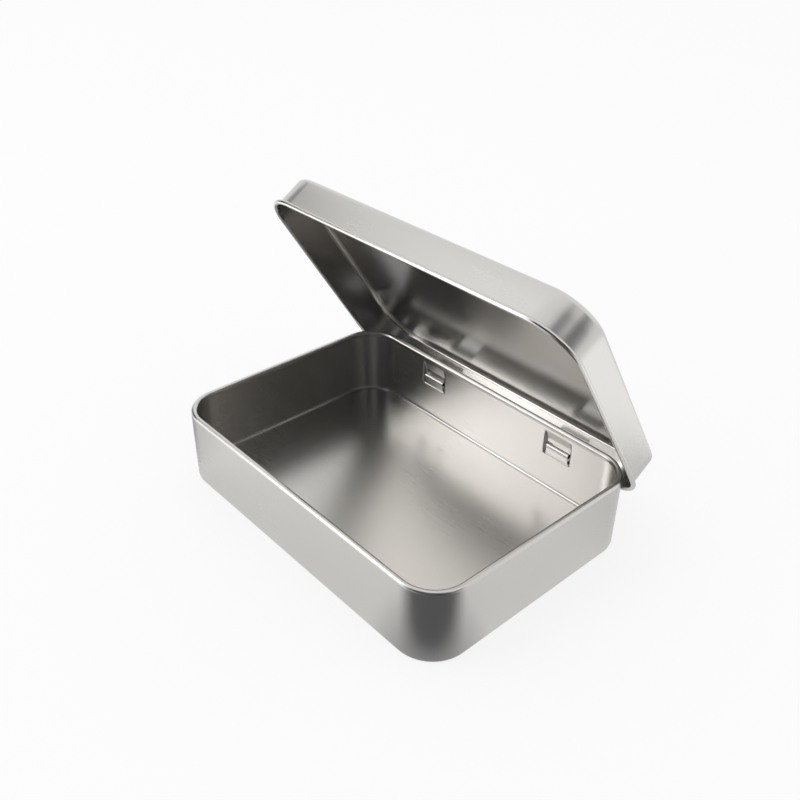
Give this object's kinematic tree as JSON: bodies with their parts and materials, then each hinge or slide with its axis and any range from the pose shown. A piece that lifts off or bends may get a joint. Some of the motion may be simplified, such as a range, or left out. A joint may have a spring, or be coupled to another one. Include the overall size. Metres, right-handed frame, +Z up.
{
  "type": "mint tin",
  "caption": "Flat rounded tin of bare sheet metal with a lid that swings on two hooks at the back and stays where it is put.",
  "frame": {"origin": "middle of the flat underside of the tray's floor, which the tin stands on", "axes": "+X along the long sides, +Y towards the hinges, +Z up; the lid is stored open by 57.4 degrees as pictured"},
  "size_m": [0.1184, 0.0906, 0.0878],
  "materials": {
    "tinplate": "satin bare tinplate with a fine grain"
  },
  "bodies": {
    "tray": {"base_tray": "tinplate", "hinge_bridge_left": "tinplate", "hinge_bridge_right": "tinplate"},
    "lid": {"lid_shell": "tinplate", "hinge_hook_left": "tinplate", "hinge_hook_right": "tinplate"}
  },
  "joints": [
    {"name": "lid_hinge", "type": "hinge", "parent": "tray", "child": "lid", "pos_m": [0, 0.041, 0.0126], "axis": [-1, 0, 0], "range_deg": [-57.4, 42.6]}
  ]
}
